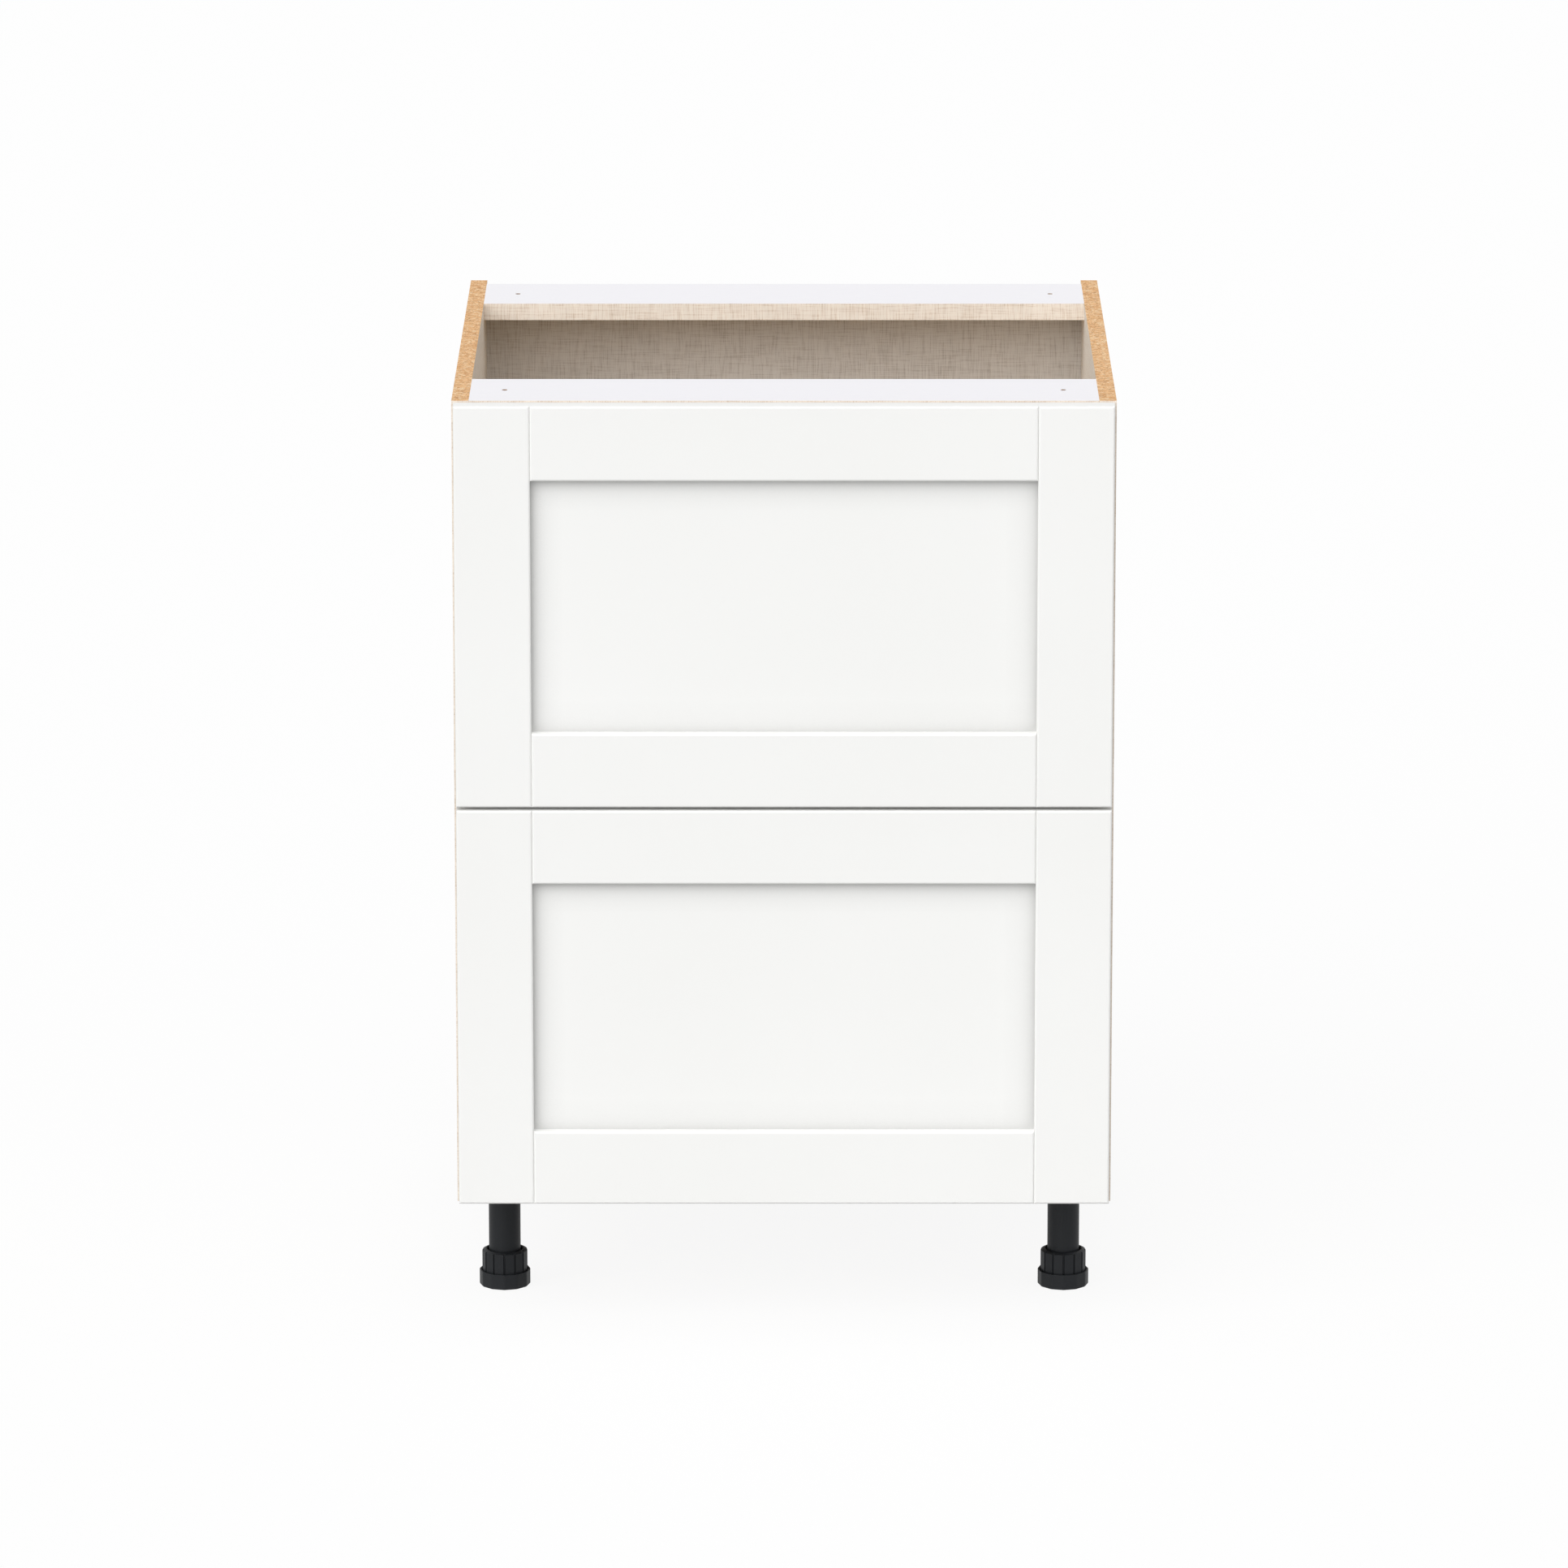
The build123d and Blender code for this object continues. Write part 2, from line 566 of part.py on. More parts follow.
    with BuildPart() as box_bottom:
        floor_x = BOX_IN_X + BOX_GROOVE - BOX_FLOOR_SLACK
        slab((-floor_x, floor_x), (groove_span[0] + BOX_FLOOR_SLACK, groove_span[1] - BOX_FLOOR_SLACK),
             floor_z)
    save(box_bottom.part, f"{level}_box_bottom")

    # ---- fixed runner member: flange on the side panel, shelf, and a track standing on the shelf
    with BuildPart() as runner_cabinet_right:
        with BuildSketch(Plane.XZ.offset(-RUNNER_BACK_Y).shift_origin((0, RUNNER_BACK_Y, box_z))):
            bar((0, SHEET), (FLANGE_LOW, FLANGE_HIGH))
            bar((0, SHELF_WIDE), (FLANGE_LOW, FLANGE_LOW + SHEET))
        extrude(amount=RUNNER_BACK_Y - FLANGE_FRONT_Y)
        flange_corners = runner_cabinet_right.edges().filter_by(Axis.X).group_by(Axis.Z)[-1]
        fillet(flange_corners, FLANGE_ROUND)
        with BuildSketch(Plane.XZ.offset(-RUNNER_BACK_Y).shift_origin((0, RUNNER_BACK_Y, box_z))):
            bar((TRACK_MID - SHEET / 2, TRACK_MID + SHEET / 2), (FLANGE_LOW, TRACK_HIGH))
            low_u = TRACK_MID - TRACK_HALF
            high_u = TRACK_MID + TRACK_HALF
            bar((low_u, high_u), (TRACK_HIGH - SHEET, TRACK_HIGH))
            bar((low_u, low_u + TRACK_SKIRT), (TRACK_SKIRT_LOW, TRACK_HIGH))
            bar((high_u - TRACK_SKIRT, high_u), (TRACK_SKIRT_LOW, TRACK_HIGH))
        extrude(amount=RUNNER_BACK_Y - TRACK_FRONT_Y)
        drill([(INNER_X - SHEET, y, box_z + RUNNER_SCREW_RISE) for y in RUNNER_SCREWS_Y + SPARE_HOLES_Y],
              TO_LEFT, RUNNER_SCREW_R + FIT, SHEET)
    save(runner_cabinet_right.part, f"{level}_runner_cabinet_right")

    with BuildPart() as runner_cabinet_left:
        mirror(runner_cabinet_right.part, about=Plane.YZ)
    save(runner_cabinet_left.part, f"{level}_runner_cabinet_left")

    # ---- middle members: channels that wrap the tracks
    with BuildPart() as runner_middles:
        with BuildSketch(Plane.XZ.offset(-MIDDLE_BACK_Y).shift_origin((0, MIDDLE_BACK_Y, box_z))):
            low_u = TRACK_MID - MIDDLE_HALF
            high_u = TRACK_MID + MIDDLE_HALF
            bar((low_u, high_u), (MIDDLE_HIGH - SHEET, MIDDLE_HIGH))
            bar((low_u, low_u + SHEET), (MIDDLE_LOW, MIDDLE_HIGH))
            bar((high_u - SHEET, high_u), (MIDDLE_LOW, MIDDLE_HIGH))
            bar((low_u, low_u + MIDDLE_LIP), (MIDDLE_LOW, MIDDLE_LOW + SHEET))
            bar((high_u - MIDDLE_LIP, high_u), (MIDDLE_LOW, MIDDLE_LOW + SHEET))
        extrude(amount=MIDDLE_BACK_Y - MIDDLE_FRONT_Y)
        mirror(about=Plane.YZ)
    save(runner_middles.part, f"{level}_runner_middles")

    # ---- drawer members: channels under the box floor, hooked into the back of the box
    with BuildPart() as runner_members:
        with BuildSketch(Plane.XZ.offset(-MEMBER_BACK_Y).shift_origin((0, MEMBER_BACK_Y, box_z))):
            low_u = TRACK_MID - MEMBER_HALF
            high_u = TRACK_MID + MEMBER_HALF
            bar((low_u, high_u), (MEMBER_HIGH - SHEET, MEMBER_HIGH))
            bar((low_u, low_u + SHEET), (MEMBER_LOW, MEMBER_HIGH))
            bar((high_u - SHEET, high_u), (MEMBER_LOW, MEMBER_HIGH))
            bar((low_u, low_u + MEMBER_LIP), (MEMBER_LOW, MEMBER_LOW + SHEET))
            bar((high_u - MEMBER_LIP, high_u), (MEMBER_LOW, MEMBER_LOW + SHEET))
        extrude(amount=MEMBER_BACK_Y - MEMBER_FRONT_Y)
        slab((hook_x - HOOK_TAB_HALF, hook_x + HOOK_TAB_HALF), (MEMBER_BACK_Y, MEMBER_BACK_Y + SHEET),
             (box_z + MEMBER_HIGH - SHEET, box_z + HOOK_TAB_HIGH))
        with Locations(Plane(origin=(hook_x, MEMBER_BACK_Y, box_z + HOOK_RISE), z_dir=TO_FRONT)):
            Cylinder(HOOK_R, HOOK_DEEP, align=(Align.CENTER, Align.CENTER, Align.MIN))
        mirror(about=Plane.YZ)
    save(runner_members.part, f"{level}_runner_members")

    # ---- roller cages between the members, two strips to a runner
    for name, off, span, cage_w, roller_w in (
        ("outer", OUTER_CAGE_OFF, OUTER_CAGE_SPAN, OUTER_CAGE_W, OUTER_ROLLER_W),
        ("inner", INNER_CAGE_OFF, INNER_CAGE_SPAN, INNER_CAGE_W, INNER_ROLLER_W),
    ):
        rollers = int((span[1] - span[0]) // ROLLER_PITCH)
        with BuildPart() as roller_cages:
            for strip_x in (hook_x - off, hook_x + off):
                slab((strip_x - CAGE_THICK / 2, strip_x + CAGE_THICK / 2), span,
                     (box_z + cage_w[0], box_z + cage_w[1]))
                with Locations((strip_x, sum(span) / 2, box_z + sum(roller_w) / 2)):
                    with GridLocations(0, ROLLER_PITCH, 1, rollers):
                        Cylinder(ROLLER_R, roller_w[1] - roller_w[0])
            mirror(about=Plane.YZ)
        save(roller_cages.part, f"{level}_roller_cages_{name}")

    # ---- small fittings that ride on the drawer
    with BuildPart() as front_screws:
        for side in (-1, 1):
            with Locations(*[Plane(origin=(side * x, BOX_IN_Y, z), z_dir=TO_BACK)
                             for x, z in front_screw_spots]):
                add(front_screw)
    save(front_screws.part, f"{level}_front_screws")

    with BuildPart() as bumpers:
        bumper_zs = (front_z + BUMPER_FROM_EDGE, front_top - BUMPER_FROM_EDGE)
        with Locations(*[Plane(origin=(x, FRONT_BACK_Y, z), z_dir=TO_BACK)
                         for x in (-BUMPER_X, BUMPER_X) for z in bumper_zs]):
            Cylinder(BUMPER_R, BUMPER_THICK, align=(Align.CENTER, Align.CENTER, Align.MIN))
        rims = bumpers.edges().filter_by(GeomType.CIRCLE).group_by(Axis.Y)[-1]
        fillet(rims, BUMPER_THICK / 2)
    save(bumpers.part, f"{level}_bumpers")

    with BuildPart() as runner_locks:
        slab((INNER_X - LOCK_U[1], INNER_X - LOCK_U[0]), (BOX_IN_Y, LOCK_BACK_Y),
             (box_z + LOCK_W[0], box_z + LOCK_W[1]))
        fillet(runner_locks.edges().filter_by(Axis.Z).group_by(Axis.Y)[-1], LOCK_ROUND)
        chamfer(runner_locks.faces().sort_by(Axis.Z)[0].edges(), LOCK_CHAMFER)
        slab((INNER_X - LEVER_U[1], INNER_X - LEVER_U[0]), (LEVER_ROOT_Y, LEVER_BACK_Y),
             (box_z + LEVER_W[0], box_z + LEVER_W[1]))
        fillet(runner_locks.edges().filter_by(Axis.Z).group_by(Axis.Y)[-1], LEVER_ROUND)
        slab((INNER_X - LOCK_U[0], INNER_X - TRACK_MID - MEMBER_HALF), LATCH_Y,
             (box_z + LEVER_W[0], box_z + LEVER_W[1]))
        mirror(about=Plane.YZ)
    save(runner_locks.part, f"{level}_runner_locks")

# ================================================================ legs
with BuildPart() as leg_socket:
    with BuildSketch(Plane.XY.offset(BASE_Z - PLATE_THICK)):
        RectangleRounded(2 * PLATE_HALF, 2 * PLATE_HALF, PLATE_ROUND)
    extrude(amount=PLATE_THICK)
    with BuildSketch(Plane.XY.offset(BOSS_LOW_Z)):
        Circle(BOSS_R)
    extrude(amount=BASE_Z - BOSS_LOW_Z)
    with BuildSketch(Plane.XZ.offset(-RIB_THICK / 2)):
        for side in (-1, 1):
            with BuildLine():
                Polyline(
                    (side * RIB_IN, BASE_Z - PLATE_THICK),
                    (side * RIB_OUT, BASE_Z - PLATE_THICK),
                    (side * RIB_IN, RIB_LOW_Z),
                    close=True,
                )
            make_face()
    extrude(amount=RIB_THICK)
    with BuildSketch(Plane.YZ.offset(-RIB_THICK / 2)):
        for side in (-1, 1):
            with BuildLine():
                Polyline(
                    (side * RIB_IN, BASE_Z - PLATE_THICK),
                    (side * RIB_OUT, BASE_Z - PLATE_THICK),
                    (side * RIB_IN, RIB_LOW_Z),
                    close=True,
                )
            make_face()
    extrude(amount=RIB_THICK)
    with BuildSketch(Plane.XY.offset(BOSS_LOW_Z)):
        Circle(TUBE_R + FIT)
    extrude(amount=TUBE_HIGH_Z - BOSS_LOW_Z + FIT, mode=Mode.SUBTRACT)
    with Locations(*[(dx, dy, BASE_Z) for dx, dy in PLATE_SCREWS]):
        Hole(LEG_SCREW_R + FIT)

with BuildPart() as leg_sockets:
    for leg_x, leg_y in LEGS.values():
        turned = leg_socket.part if leg_x > 0 else leg_socket.part.mirror(Plane.YZ)
        with Locations((leg_x, leg_y, 0)):
            add(turned)
save(leg_sockets.part, "leg_sockets")

with BuildPart() as leg_screws:
    with Locations(*[Plane(origin=(x, y, BASE_Z - PLATE_THICK), z_dir=DOWN) for x, y in LEG_SCREW_SPOTS]):
        add(leg_screw)
save(leg_screws.part, "leg_screws")

with BuildPart() as leg_tubes:
    with Locations(*[(x, y, TUBE_LOW_Z) for x, y in LEGS.values()]):
        Cylinder(TUBE_R, TUBE_HIGH_Z - TUBE_LOW_Z, align=(Align.CENTER, Align.CENTER, Align.MIN))
    chamfer(leg_tubes.edges().filter_by(GeomType.CIRCLE).group_by(Axis.Z)[0], TUBE_CHAMFER)
    drill([(x, y, TUBE_LOW_Z) for x, y in LEGS.values()], DOWN, TUBE_BORE_R, TUBE_BORE_TOP_Z - TUBE_LOW_Z)
save(leg_tubes.part, "leg_tubes")

# Screw foot on the leg's own axis: ribbed cup with a threaded stem.
thread_profile = []
for turn in range(THREAD_TURNS):
    root_z = THREAD_LOW_Z + THREAD_PITCH * turn
    thread_profile.append((STEM_ROOT_R, root_z))
    thread_profile.append((STEM_R, root_z + (THREAD_PITCH - THREAD_CREST) / 2))
    thread_profile.append((STEM_R, root_z + (THREAD_PITCH + THREAD_CREST) / 2))

with BuildPart() as leg_collar:
    with BuildSketch(Plane.XZ):
        with BuildLine():
            Polyline(
                (0, PIVOT_TOP_Z + PIVOT_GAP),
                (PIVOT_R + PIVOT_GAP, PIVOT_TOP_Z + PIVOT_GAP),
                (PIVOT_R + PIVOT_GAP, COLLAR_LOW_Z),
                (COLLAR_R, COLLAR_LOW_Z),
                (COLLAR_R, COLLAR_TOP_Z - COLLAR_CHAMFER),
                (COLLAR_LIP_R, COLLAR_TOP_Z),
                (CUP_R, COLLAR_TOP_Z),
                (CUP_R, CUP_FLOOR_Z),
                (STEM_ROOT_R, CUP_FLOOR_Z),
                *thread_profile,
                (STEM_ROOT_R, STEM_TOP_Z - STEM_CHAMFER),
                (STEM_ROOT_R - STEM_CHAMFER, STEM_TOP_Z),
                (0, STEM_TOP_Z),
                close=True,
            )
        make_face()
    revolve(axis=Axis.Z)
    with BuildSketch(Plane.XY):
        RegularPolygon(COLLAR_R, COLLAR_FLATS, rotation=-90)
    extrude(amount=STEM_TOP_Z, mode=Mode.INTERSECT)
    with BuildSketch(Plane.XY.offset(COLLAR_LOW_Z)):
        with PolarLocations(COLLAR_R, COLLAR_FLATS, start_angle=-90):
            SlotOverall(2 * COLLAR_GROOVE_DEEP, COLLAR_GROOVE_WIDE)
    extrude(amount=COLLAR_TOP_Z - COLLAR_LOW_Z, mode=Mode.SUBTRACT)

# Swivelling foot dish with a hollow for the cup and a pivot in its middle.
with BuildPart() as leg_pad:
    with BuildSketch(Plane.XY):
        RegularPolygon(PAD_R, PAD_SIDES, rotation=-90)
    extrude(amount=PAD_RIM_Z)
    fillet(leg_pad.edges().filter_by(Axis.Z), PAD_EDGE_ROUND)
    chamfer(leg_pad.faces().sort_by(Axis.Z)[0].edges(), PAD_FOOT_CHAMFER)
    with BuildSketch(Plane.XY.offset(PAD_RIM_Z)):
        Circle(PAD_HOLLOW_R)
    extrude(amount=PAD_FLOOR_Z - PAD_RIM_Z, mode=Mode.SUBTRACT)
    with BuildSketch(Plane.XY.offset(PAD_FLOOR_Z)):
        Circle(PIVOT_R)
    extrude(amount=PIVOT_TOP_Z - PAD_FLOOR_Z)

for corner, (leg_x, leg_y) in LEGS.items():
    with BuildPart() as leg_collar_placed:
        with Locations((leg_x, leg_y, 0)):
            add(leg_collar.part)
    save(leg_collar_placed.part, f"leg_collar_{corner}")
    with BuildPart() as leg_pad_placed:
        with Locations((leg_x, leg_y, 0)):
            add(leg_pad.part)
    save(leg_pad_placed.part, f"leg_pad_{corner}")
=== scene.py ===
import json
import math

import bpy
from mathutils import Euler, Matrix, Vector

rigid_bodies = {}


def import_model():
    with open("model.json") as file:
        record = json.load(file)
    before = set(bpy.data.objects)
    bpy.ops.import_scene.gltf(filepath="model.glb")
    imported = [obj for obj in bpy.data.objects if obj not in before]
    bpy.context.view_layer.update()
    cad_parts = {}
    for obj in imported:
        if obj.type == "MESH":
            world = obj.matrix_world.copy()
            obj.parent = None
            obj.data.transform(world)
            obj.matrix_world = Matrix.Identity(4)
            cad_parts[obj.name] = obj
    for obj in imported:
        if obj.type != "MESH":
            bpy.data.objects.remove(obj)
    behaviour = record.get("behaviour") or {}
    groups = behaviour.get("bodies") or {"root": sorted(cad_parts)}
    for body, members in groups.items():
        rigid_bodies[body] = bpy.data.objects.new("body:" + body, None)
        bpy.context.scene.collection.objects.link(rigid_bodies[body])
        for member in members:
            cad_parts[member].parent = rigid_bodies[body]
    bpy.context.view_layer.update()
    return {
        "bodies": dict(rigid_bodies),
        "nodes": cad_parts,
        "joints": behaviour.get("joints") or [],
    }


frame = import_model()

LEVELS = ("lower", "upper")
SIDES = ("left", "right")
CORNERS = ("front_left", "front_right", "back_left", "back_right")
X, Y, Z = 0, 1, 2

MIX_A, MIX_B, MIX_RESULT = 6, 7, 2  # sockets of a Mix node for its two colours and its result
BEVEL_SAMPLES, SKY_SAMPLES = 4, 8
SEED_SKEW = 1.7  # keeps a texture's offset from being the same on two axes
FACING = 0.9  # least part of a face's normal along an axis for the face to count as facing that way


# ---------------------------------------------------------------- node helpers
class Surface:
    """One procedural material, built node by node in the object's own coordinates.

    The coordinates are metres, so the scale of a texture is the number of its features in a metre.
    Tones are linear."""

    def __init__(self, name):
        self.mat = bpy.data.materials.new(name)
        self.mat.use_nodes = True
        self.tree = self.mat.node_tree
        self.shader = self.tree.nodes["Principled BSDF"]
        self.place = self.tree.nodes.new("ShaderNodeTexCoord").outputs["Object"]

    def node(self, kind, **settings):
        made = self.tree.nodes.new("ShaderNode" + kind)
        for key, value in settings.items():
            setattr(made, key, value)
        return made

    def link(self, source, target):
        self.tree.links.new(source, target)

    def feed(self, target, value):
        if isinstance(value, bpy.types.NodeSocket):
            self.link(value, target)
        else:
            target.default_value = value

    def stretched(self, scale):
        """Object coordinates multiplied axis by axis."""
        made = self.node("Mapping")
        self.link(self.place, made.inputs["Vector"])
        made.inputs["Scale"].default_value = scale
        return made.outputs["Vector"]

    def noise(self, scale, detail=3.0, rough=0.55, distort=0.0, offset=0.0):
        made = self.node("TexNoise")
        vector = self.stretched(scale)
        if offset:
            vector.node.inputs["Location"].default_value = (offset, offset * SEED_SKEW, -offset)
        self.link(vector, made.inputs["Vector"])
        made.inputs["Scale"].default_value = 1.0
        made.inputs["Detail"].default_value = detail
        made.inputs["Roughness"].default_value = rough
        made.inputs["Distortion"].default_value = distort
        return made.outputs["Fac"]

    def cells(self, scale):
        """Three random numbers for each cell, as the channels of a Separate Color node."""
        made = self.node("TexVoronoi")
        self.link(self.stretched(scale), made.inputs["Vector"])
        made.inputs["Scale"].default_value = 1.0
        channels = self.node("SeparateColor")
        self.link(made.outputs["Color"], channels.inputs["Color"])
        return channels.outputs

    def ramp(self, fac, *stops):
        """Colour or grey ramp; stops are (position, value) with value a number or a colour."""
        made = self.node("ValToRGB")
        self.link(fac, made.inputs["Fac"])
        line = made.color_ramp.elements
        while len(line) < len(stops):
            line.new(0.5)
        for element, (spot, value) in zip(line, stops):
            element.position = spot
            grey = not hasattr(value, "__len__")
            element.color = (value, value, value, 1.0) if grey else (*value, 1.0)
        return made.outputs["Color"]

    def mix(self, fac, a, b, blend="MIX"):
        made = self.node("Mix", data_type="RGBA", blend_type=blend)
        self.feed(made.inputs["Factor"], fac)
        for index, value in ((MIX_A, a), (MIX_B, b)):
            self.feed(made.inputs[index], (*value, 1.0) if isinstance(value, tuple) else value)
        return made.outputs[MIX_RESULT]

    def multiply(self, a, b):
        return self.mix(1.0, a, b, "MULTIPLY")

    def calc(self, kind, a, b):
        made = self.node("Math", operation=kind)
        self.feed(made.inputs[0], a)
        self.feed(made.inputs[1], b)
        return made.outputs["Value"]

    def rounded(self, radius):
        """Surface normal with the edges rounded off by radius."""
        made = self.node("Bevel", samples=BEVEL_SAMPLES)
        made.inputs["Radius"].default_value = radius
        return made.outputs["Normal"]

    def edges(self, radius):
        """Grey mask that is white on the model's edges, for wear, and in the front paint also for a
        painted highlight.
        """
        plain = self.node("NewGeometry")
        dot = self.node("VectorMath", operation="DOT_PRODUCT")
        self.link(self.rounded(radius), dot.inputs[0])
        self.link(plain.outputs["Normal"], dot.inputs[1])
        bent = self.calc("SUBTRACT", 1.0, dot.outputs["Value"])
        return self.ramp(bent, (0.03, 0.0), (0.25, 1.0))

    def corners(self, tone, reach, deep, closed=0.0):
        """The tone, darkened to deep of itself as painted shade where what is within reach leaves closed
        of the sky open.
        """
        made = self.node("AmbientOcclusion", samples=SKY_SAMPLES)
        made.inputs["Distance"].default_value = reach
        return self.multiply(tone, self.ramp(made.outputs["AO"], (closed, deep), (1.0, 1.0)))

    def bump(self, height, strength, distance, soften=None):
        made = self.node("Bump")
        self.link(height, made.inputs["Height"])
        made.inputs["Strength"].default_value = strength
        made.inputs["Distance"].default_value = distance
        if soften:
            self.link(self.rounded(soften), made.inputs["Normal"])
        self.link(made.outputs["Normal"], self.shader.inputs["Normal"])

    def set(self, **values):
        for key, value in values.items():
            self.feed(self.shader.inputs[key.replace("_", " ")], value)
        return self.mat


# ---------------------------------------------------------------- materials
def even(scale):
    return (scale, scale, scale)


def drawn_out(axis, along, across):
    """Scale of a texture that is stretched along one axis."""
    scale = [across, across, across]
    scale[axis] = along
    return tuple(scale)


def shaded(tone, share):
    return tuple(channel * share for channel in tone)


def paler(tone, share, most=1.0):
    return tuple(min(most, channel * share) for channel in tone)


PAINT_DULL = (0.905, 0.905, 0.888)
PAINT_CLEAN = (0.922, 0.922, 0.908)
# Paler tone of the paint's edges: partly rubbed paint, partly a painted highlight.
PAINT_RUBBED_AND_HIGHLIT = (0.935, 0.935, 0.925)
PAINT_CLOUDS, PAINT_SHEEN, ORANGE_PEEL = 3.0, 40.0, 520.0


def front_paint(name, inner=1.0):
    """Satin sprayed paint: faint orange peel, paler on its edges, partly as rubbed paint and partly as a
    painted highlight.

    In inner corners it shows only inner of its tone, as painted shade."""
    s = Surface(name)
    tone = s.ramp(s.noise(even(PAINT_CLOUDS), 2.0), (0.3, PAINT_DULL), (0.7, PAINT_CLEAN))
    # Painted shade: the tone darkens to inner of itself in the recess's inner corners.
    if inner < 1.0:
        tone = s.corners(tone, reach=0.03, deep=inner, closed=0.5)
    # Paler edges: partly rubbed paint, partly a painted highlight.
    edge_toned = s.mix(s.edges(0.0012), tone, PAINT_RUBBED_AND_HIGHLIT)
    rough = s.ramp(s.noise(even(PAINT_SHEEN), 4.0, offset=3.0), (0.3, 0.36), (0.7, 0.44))
    s.bump(s.noise(even(ORANGE_PEEL), 2.0), strength=0.06, distance=0.0004, soften=0.0006)
    return s.set(Base_Color=edge_toned, Roughness=rough)


LINEN_TONE, LINEN_SHADE = (0.92, 0.815, 0.71), (0.76, 0.70, 0.63)
THREAD_LONG, THREAD_FINE, SLUB_FINE, LINEN_CLOUDS = 45.0, 1250.0, 160.0, 9.0
LINEN_PALEST = 0.94


def linen(name, across, along, light=LINEN_TONE, shade=LINEN_SHADE, inner=1.0):
    """Printed linen melamine on the face spanned by axes across and along; shade darkens its thin threads.

    Where the cabinet closes round it, it shows only inner of its tone, as painted shade."""
    s = Surface(name)

    def threads(axis, other, fine, offset):
        scale = [0.0, 0.0, 0.0]
        scale[axis], scale[other] = THREAD_LONG, fine
        return s.noise(tuple(scale), 2.0, 0.6, offset=offset)

    warp = s.ramp(threads(along, across, THREAD_FINE, 1.3), (0.38, 0.0), (0.49, 0.75), (0.62, 1.0))
    weft = s.ramp(threads(across, along, THREAD_FINE, 7.9), (0.36, 0.0), (0.47, 0.75), (0.62, 1.0))
    weave = s.mix(0.45, warp, weft)
    dark = tuple(c * f for c, f in zip(light, shade))
    tone = s.ramp(weave, (0.05, dark), (0.70, light), (1.0, paler(light, 1.06, LINEN_PALEST)))
    tone = s.multiply(tone, s.ramp(threads(along, across, SLUB_FINE, 3.1), (0.35, 0.96), (0.6, 1.0)))
    clouds = s.noise(even(LINEN_CLOUDS), 2.0, offset=5.0)
    tone = s.multiply(tone, s.ramp(clouds, (0.3, 0.96), (0.7, 1.0)))
    # Painted shade: the tone darkens to inner of itself where the cabinet closes round the board.
    if inner < 1.0:
        tone = s.corners(tone, reach=0.6, deep=inner, closed=0.1)
    s.bump(weave, strength=0.12, distance=0.0002)
    return s.set(Base_Color=tone, Roughness=0.5)


BIG_CHIPS, SMALL_CHIPS, CHIP_PITS = (300.0, 300.0, 800.0), (900.0, 900.0, 1500.0), 700.0


def chipboard():
    """Sawn particleboard: chips of several tans lying flat, dark glue flecks, small pits, and painted
    shade down in its holes and inner corners.
    """
    s = Surface("chipboard")
    chips = s.cells(BIG_CHIPS)
    big = s.ramp(chips["Red"], (0.0, (0.48, 0.21, 0.07)), (0.35, (0.76, 0.42, 0.18)),
                 (0.7, (0.88, 0.54, 0.27)), (1.0, (0.96, 0.76, 0.50)))
    fleck = s.ramp(s.cells(SMALL_CHIPS)["Green"], (0.0, (0.42, 0.18, 0.06)), (0.3, (0.80, 0.44, 0.19)),
                   (0.8, (0.93, 0.61, 0.32)), (1.0, (0.96, 0.80, 0.56)))
    pits = s.ramp(s.noise(even(CHIP_PITS), 3.0), (0.30, 0.50), (0.44, 1.0))
    tone = s.multiply(s.mix(0.5, big, fleck), pits)
    s.bump(s.mix(0.5, chips["Blue"], pits), strength=0.5, distance=0.0005)
    # Painted shade: the tone falls to 0.12 of itself down in holes and inner corners.
    return s.set(Base_Color=s.corners(tone, reach=0.02, deep=0.12), Roughness=0.85)


LAMINATE_DULL, LAMINATE_CLEAN = (0.915, 0.905, 0.945), (0.930, 0.920, 0.955)
PEARL_LONG, PEARL_FINE, LAMINATE_PEEL = 60.0, 260.0, 700.0


def white_laminate():
    """White melamine of the rails, cool white with a faint pearl grain along X."""
    s = Surface("white_laminate")
    pearl = s.noise(drawn_out(X, PEARL_LONG, PEARL_FINE), 3.0)
    tone = s.ramp(pearl, (0.3, LAMINATE_DULL), (0.7, LAMINATE_CLEAN))
    s.bump(s.noise(even(LAMINATE_PEEL), 2.0), strength=0.05, distance=0.0003)
    return s.set(Base_Color=tone, Roughness=0.42)


RING_DRAW, PORE_LONG, PORE_FINE = 0.035, 16.0, 900.0


def timber(name, axis, light, dark, ring=70.0):
    """Planed wood with its grain along one axis and ring growth rings in a metre across it."""
    s = Surface(name)
    figure = s.noise(drawn_out(axis, ring * RING_DRAW, ring), 3.0, 0.5, 0.8)
    pores = s.noise(drawn_out(axis, PORE_LONG, PORE_FINE), 3.0, 0.6, offset=2.0)
    pores = s.ramp(pores, (0.36, 0.72), (0.5, 1.0))
    tone = s.ramp(figure, (0.3, dark), (0.55, light), (0.8, shaded(light, 0.93)))
    tone = s.mix(0.7, tone, s.multiply(tone, pores))
    edge_toned = s.mix(s.edges(0.001), tone, shaded(dark, 0.8))
    s.bump(pores, strength=0.18, distance=0.0003, soften=0.0005)
    return s.set(Base_Color=edge_toned, Roughness=s.ramp(figure, (0.3, 0.5), (0.7, 0.42)))


STREAK_LONG, STREAK_FINE, SPANGLE = 12.0, 1400.0, 120.0


